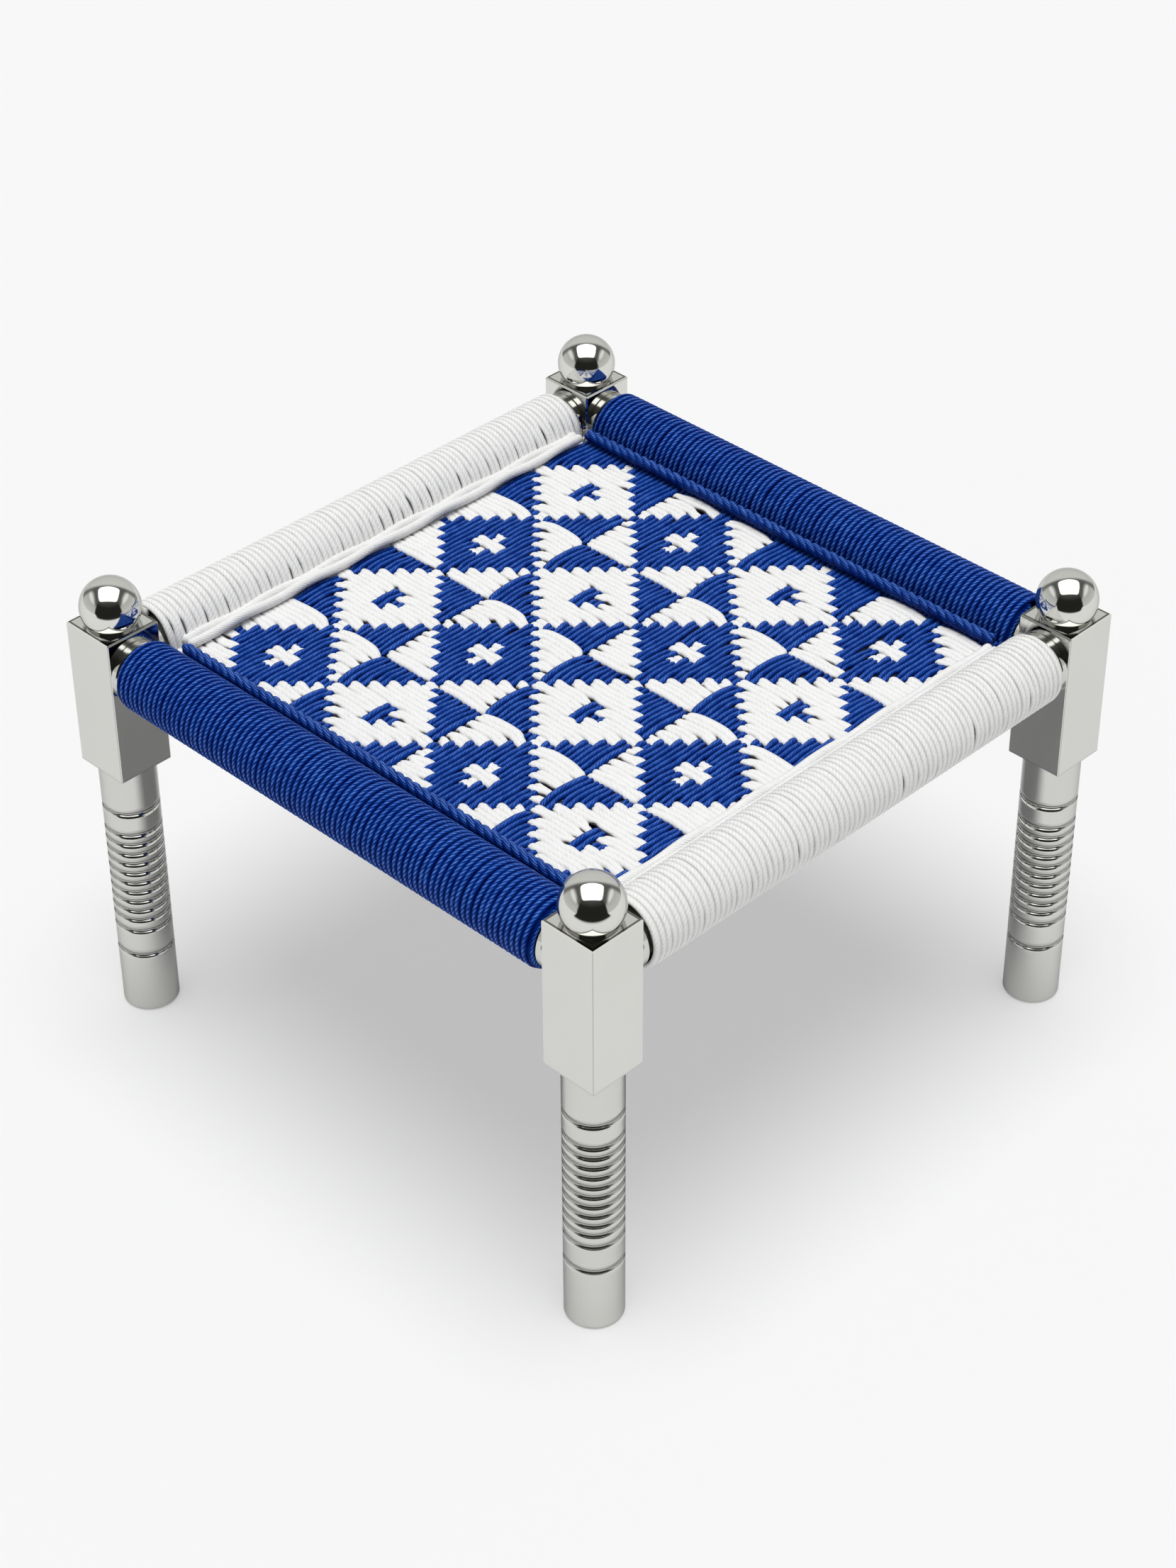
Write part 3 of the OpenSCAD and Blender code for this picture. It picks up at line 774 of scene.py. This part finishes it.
def seat_paths(weave, colour, over, shift, rng):
    """Centre lines of one set of seat cords, drawn along X: (cords, rings, 3), and their looks.

    Each cord keeps its place in its group, rises and falls with the weave, and spreads over a neighbour
    that lies lower. Where a float ends its cords close up and lean aside, along exp(-(d / reach)^2) at
    a distance d, and the float beside it gives way: slits open there, less so at short floats. The
    groups bow sideways between the corners of the squares by a squared sine. Also gives the half
    widths, the painted shade on the cords' sides in a slit, and the painted shade on a blue cord
    where it goes down.
    """
    groups = over.shape[0]
    pitch = 2 * FIELD_HALF / groups
    reach = RAIL_OFFSET - WOUND_RADIUS + weave.lift
    x = np.linspace(-reach, reach, SEAT_STEPS)
    place = (x - shift[0]) / pitch + groups / 2
    across = np.arange(weave.cords) - (weave.cords - 1) / 2
    sides = across / max(abs(across).max(), 0.5)
    height, mean, changes, lean = float_height(over, place, weave.travel / pitch, weave.skew, sides)
    # How far a float's end closes its cords up, and over what distance, are drawn about their usual sizes
    near = (place - np.arange(groups + 1)[:, None]) * pitch
    near = np.exp(-(near / (weave.pinch_reach * rng.gamma(6, 1 / 6, (*changes.shape, 1)))) ** 2)
    strength = changes * rng.gamma(2.5, 0.3, changes.shape)
    if colour == "white":
        strength[:, [0, -1]] = rng.gamma(1, 0.4, (groups, 2))
    closed = np.einsum("gb,gbp->gp", strength, near)
    leant = np.clip(np.einsum("gb,gbp->gp", strength * lean, near), -1.4, 1.4)
    closed = np.clip(closed[:, None] + weave.give * of_neighbour(closed, sides), 0, 1.2)
    # Less so where few of the ten crossings about a place have this cord on top
    window = 10
    on_top = np.pad(over.astype(float), ((0, 0), (window // 2, window // 2)), constant_values=1)
    on_top = sum(on_top[:, n:n + groups + 1] for n in range(window)) / window
    closed = closed * np.clip(between(on_top, np.clip(place, 0, groups)) * 3 - 0.5, 0.1, 1)[:, None]
    pinch = getattr(weave, colour + "_pinch")
    lower = height - of_neighbour(height.mean(axis=1), sides)
    spread = getattr(weave, colour + "_spread") / 2 * np.clip(lower, 0, 2)
    in_square = (np.arange(groups) % weave.groups - weave.groups // 2) / (weave.groups / 2)
    square_place = (x - shift[0]) / (pitch * weave.groups) + weave.squares / 2
    bow = weave.bow * (0.25 + 0.75 * in_square[:, None] ** 2) * np.sin(2 * np.pi * square_place) ** 2
    bow = bow * (abs(x - shift[0]) < FIELD_HALF)
    middle = (np.arange(groups)[:, None] + 0.5) * pitch - FIELD_HALF + shift[1] + bow
    middle = middle + leant * (pinch * pitch / 4)
    half = pitch / weave.cords / 2
    y = middle[:, None] + across[:, None] * (2 * half) * (1 - pinch * closed) + sides[:, None] * spread
    mean = mean[:, None]
    z = SEAT_MIDDLE + weave.lift * height * (0.72 + 0.28 * abs(mean)) + weave.dome * mean
    y = y.reshape(-1, len(x)) + weave.wander * value_noise(rng, groups * weave.cords, x, 14 * MM)
    free, less = SPREAD[colour]
    wide = half * (free - less * closed) + spread * 0.9
    # Painted shade on the cords' sides along a slit, and on a cord where it goes down
    slit_shade = np.clip(closed - 0.3, 0, 0.7) * np.clip(0.3 + mean * 1.5, 0, 1)
    sunk_shade = np.clip(0.5 - height, 0, 1) * SUNK_SHADE[colour]
    path = np.stack([np.broadcast_to(x, y.shape), y, z.reshape(y.shape)], axis=-1)
    return path, wide.reshape(y.shape), slit_shade.reshape(y.shape), sunk_shade.reshape(y.shape)


class STOOL_OT_weave_seat(Operator):
    """Weaves the seat: white cords along X and blue ones along Y, over and under in a field of diamonds"""
    bl_idname = "stool.weave_seat"
    bl_label = "Weave the seat"

    def execute(self, context):
        weave = context.scene.stool_weave
        blue = blue_on_top(weave.squares, weave.groups)
        shift_x, shift_y = weave.shift
        # Blue cords are drawn along X as well and get a quarter turn, which puts +Y where -X was
        sets = (("white", ~blue.T, (shift_x, shift_y), 0), ("blue", blue[::-1], (shift_y, -shift_x), 1))
        for number, (colour, over, shift, quarters) in enumerate(sets):
            rng = np.random.default_rng(SEAT_SEED + number)
            path, wide, slit_shade, sunk_shade = seat_paths(weave, colour, over, shift, rng)
            high = FIELD_HALF / (len(over) * weave.cords) * 0.98
            points = quarter_turned(cord_rings(path, UP, wide, high, CORD_SIDES), quarters)
            lengths = run_lengths(path) + rng.uniform(0, 4 * MM, (len(path), 1))
            lengths += weave.twist_change * value_noise(rng, len(path), path[0, :, 0], 25 * MM)
            middle = len(path) // 2
            for half, cords in (("first", slice(0, middle)), ("second", slice(middle, None))):
                part = tubes(points[cords], lengths[cords], *twist(weave, colour), weave.crest,
                             slit_shade[cords], sunk_shade[cords])
                make_piece(f"{colour}_seat_cords_{half}_half", [part], "woven", colour, weave,
                           colour + "_seat_cords")
        return {"FINISHED"}


class STOOL_OT_twine_edges(Operator):
    """Lays an edge cord along each side of the seat: three strands twined if blue, two beside if white"""
    bl_idname = "stool.twine_edges"
    bl_label = "Twine the edges"

    def execute(self, context):
        edge = context.scene.stool_edge
        for rail, quarters, colour in RAILS:
            low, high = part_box(rail + "_edge_cord")
            half = max(high.x - low.x, high.y - low.y) / 2
            x = np.linspace(-half, half, EDGE_STEPS)
            thick = getattr(edge, colour + "_radius")
            if colour == "blue":
                strands, swing, inset = 3, EDGE_RADIUS - thick, EDGE_INSET
                turned = x * (2 * np.pi / edge.twist)
            else:
                strands, swing, inset = 2, WHITE_APART, EDGE_INSET - edge.white_press
                turned = edge.sway * np.sin(x / WHITE_SWAY)
            angle = turned + (np.arange(strands) * (2 * np.pi / strands))[:, None]
            out = np.stack([np.zeros_like(angle), np.cos(angle), np.sin(angle)], axis=-1)
            rise = EDGE_HEIGHT + getattr(edge, colour + "_rise") - RAIL_HEIGHT
            middle = np.stack([x, np.full_like(x, inset), np.full_like(x, rise)], axis=-1)
            path = middle + out * swing
            # Round tips, cut just short of a point
            tip = np.sqrt(1 - np.clip((abs(x) - half) / thick + 1, 0, 0.98) ** 2)
            points = on_rail(cord_rings(path, UP, thick * tip, thick * tip, EDGE_SIDES), quarters)
            part = tubes(points, run_lengths(path), *twist(edge, colour), edge.crest)
            make_piece(rail + "_twined_cord", [part], "twined", colour, edge, rail + "_edge_cord")
        return {"FINISHED"}


class STOOL_OT_set_stage(Operator):
    """Lays the pale floor, sets the soft light and the camera"""
    bl_idname = "stool.set_stage"
    bl_label = "Set the stage"

    def execute(self, context):
        stage = context.scene.stool_stage
        for part in (self.floor, self.world, self.key_light, self.camera):
            part(stage)
        context.scene.view_settings.view_transform = "Standard"
        return {"FINISHED"}

    def floor(self, stage):
        """A square of paper; steel sees its far part dark, and from below it is clear."""
        half = stage.floor_size / 2
        mesh = bpy.data.meshes.new("floor")
        mesh.from_pydata([(-half, -half, 0), (half, -half, 0), (half, half, 0), (-half, half, 0)],
                         [], [(0, 1, 2, 3)])
        graph = Graph(bpy.data.materials.new("paper_floor"))
        paper = graph.add("BsdfDiffuse", inputs={"Color": stage.paper})
        dark = graph.add("BsdfDiffuse", inputs={"Color": DARK_ROOM})
        plain = graph.add("Emission", inputs={"Color": stage.paper})
        clear = graph.add("BsdfTransparent")
        lit = graph.mix_shaders(graph.ray("Camera") * stage.shadow_lift, paper, plain)
        mirrored = graph.ray("Glossy") * self.dark_floor(graph, stage)
        top = graph.mix_shaders(mirrored, lit, dark)
        below = graph.add("NewGeometry", output="Backfacing")
        graph.add("OutputMaterial", inputs={"Surface": graph.mix_shaders(below, top, clear)})
        mesh.materials.append(graph.owner)
        add_object("floor", mesh)

    def directions(self, stage, lift=0):
        """Which way is towards the camera at an angle of lift above level, and to its side."""
        turn = stage.camera_azimuth
        return ((math.sin(turn) * math.cos(lift), -math.cos(turn) * math.cos(lift), math.sin(lift)),
                (math.cos(turn), math.sin(turn), 0))

    def dark_floor(self, graph, stage):
        """1 on the floor out towards the camera, where the room is dark, and 0 on the lit paper."""
        where = graph.place()
        toward, across = (graph.dot(where, axis) for axis in self.directions(stage))
        return toward.over(stage.paper_reach, 0.3) * (toward * 1.1 - abs(across)).over(0, 0.2)

    def world(self, stage):
        """Soft light from all round; polished steel sees a studio instead, and the camera plain paper."""
        world = bpy.data.worlds.new("studio")
        bpy.context.scene.world = world
        graph = Graph(world)
        soft = graph.add("Background", inputs={"Color": (1, 1, 1), "Strength": stage.fill})
        mirror = graph.add("Background", inputs={"Color": self.studio(graph, stage)})
        paper = graph.add("Background", inputs={"Color": stage.paper})
        seen = graph.mix_shaders(graph.ray("Glossy"), soft, mirror)
        plain = (graph.ray("Camera") + graph.ray("Transmission")).over(0.5, 0.1)
        shader = graph.mix_shaders(plain, seen, paper)
        graph.add("OutputWorld", inputs={"Surface": shader})

    def studio(self, graph, stage):
        """What polished steel mirrors: pale walls, a dark opening past the camera, a soft box overhead."""
        direction = graph.add("TexCoord", output="Generated")
        toward, across = (graph.dot(direction, axis) for axis in self.directions(stage))
        across = abs(across)
        up = graph.dot(direction, (0, 0, 1))
        # Pale walls, darker towards the ceiling, with a bright patch high up at either side
        wall = graph.mix(up.over(0.45, 0.9), (0.68, 0.68, 0.66), (0.40, 0.40, 0.39))
        side = across.over(0.76, 0.12) * up.over(0.42, 0.1) * (1 - up.over(0.72, 0.1))
        wall = graph.mix(side, wall, (0.95, 0.95, 0.93))
        # Behind the stool the ceiling is pale, past a dark arc from the horizon to above the soft box
        behind = toward - up * 0.29
        back = graph.mix(behind.over(-0.62, 0.1), (0.74, 0.74, 0.73), wall)
        arc = behind.over(-0.7, 0.12) * (1 - behind.over(-0.5, 0.16))
        back = graph.mix(arc * 0.85, back, (0.1, 0.1, 0.097))
        # A dark strip between the soft box and the walls
        strip = (1 - across.over(0.76, 0.12)) * up.over(0.4, 0.14) * behind.over(-0.6, 0.08)
        back = graph.mix(strip, back, (0.12, 0.12, 0.115))
        # The dark opening: towards the camera's side, narrower below, and lower than the soft box
        opening = (toward * 1.15 - across).over(0, 0.1) * (1 - up.over(0.70, 0.5))
        room = graph.mix(opening, back, DARK_ROOM)
        # The soft box: a rectangle with round corners about a line up at box_lift
        box_lift, corner, long_half, short_half = math.radians(81), 0.16, 0.67, 0.56
        ahead = graph.dot(direction, self.directions(stage, box_lift)[0])
        down = graph.dot(direction, self.directions(stage, box_lift - math.pi / 2)[0])
        long_side = (across / ahead - (long_half - corner)).most(0)
        short_side = (abs(down / ahead) - (short_half - corner)).most(0)
        distance = (long_side * long_side + short_side * short_side) ** 0.5
        box = (1 - distance.over(corner, 0.05)) * ahead.over(0.2, 0.1)
        return graph.mix(box, room, (2.2, 2.2, 2.2))

    def key_light(self, stage):
        """A wide soft lamp overhead, which polished steel doesn't mirror."""
        light = bpy.data.lights.new("overhead_soft_light", "SUN")
        light.angle = stage.key_spread
        light.energy = stage.key
        lamp = add_object("overhead_soft_light", light)
        lamp.visible_glossy = False
        lamp.rotation_euler = (stage.key_tilt, 0, stage.camera_azimuth)

    def camera(self, stage):
        """The camera at the photograph's viewing angle."""
        roll = stage.camera_roll
        back, right = (Vector(axis) for axis in self.directions(stage, stage.camera_elevation))
        up = back.cross(right)
        axes = Matrix((right * math.cos(roll) + up * math.sin(roll),
                       up * math.cos(roll) - right * math.sin(roll), back)).transposed()
        data = bpy.data.cameras.new("camera")
        data.sensor_width = 36
        data.lens = stage.lens
        camera = add_object("camera", data)
        camera.matrix_world = Matrix.Translation(stage.camera_place) @ axes.to_4x4()
        bpy.context.scene.camera = camera


STEPS = (STOOL_OT_set_stage, STOOL_OT_polish_steel, STOOL_OT_wind_rails, STOOL_OT_weave_seat,
         STOOL_OT_twine_edges)


class STOOL_PT_panel(Panel):
    """Lists the stool's steps and settings"""
    bl_label = "Stool"
    bl_idname = "STOOL_PT_panel"
    bl_space_type = "VIEW_3D"
    bl_region_type = "UI"
    bl_category = "Stool"

    def draw(self, context):
        for step in STEPS:
            self.layout.operator(step.bl_idname)
        for name, group in SETTINGS.items():
            box = self.layout.box()
            box.label(text=group.__name__.replace("Settings", ""))
            for prop in group.bl_rna.properties:
                if prop.is_runtime:
                    box.prop(getattr(context.scene, name), prop.identifier)


def register():
    for cls in (*SETTINGS.values(), *STEPS, STOOL_PT_panel):
        bpy.utils.register_class(cls)
    for name, group in SETTINGS.items():
        setattr(bpy.types.Scene, name, PointerProperty(type=group))


def unregister():
    for name in SETTINGS:
        delattr(bpy.types.Scene, name)
    for cls in reversed((*SETTINGS.values(), *STEPS, STOOL_PT_panel)):
        bpy.utils.unregister_class(cls)


def main():
    """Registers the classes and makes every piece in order."""
    register()
    bpy.ops.stool.set_stage()
    bpy.ops.stool.polish_steel()
    bpy.ops.stool.wind_rails()
    bpy.ops.stool.weave_seat()
    bpy.ops.stool.twine_edges()


if __name__ == "__main__":
    main()
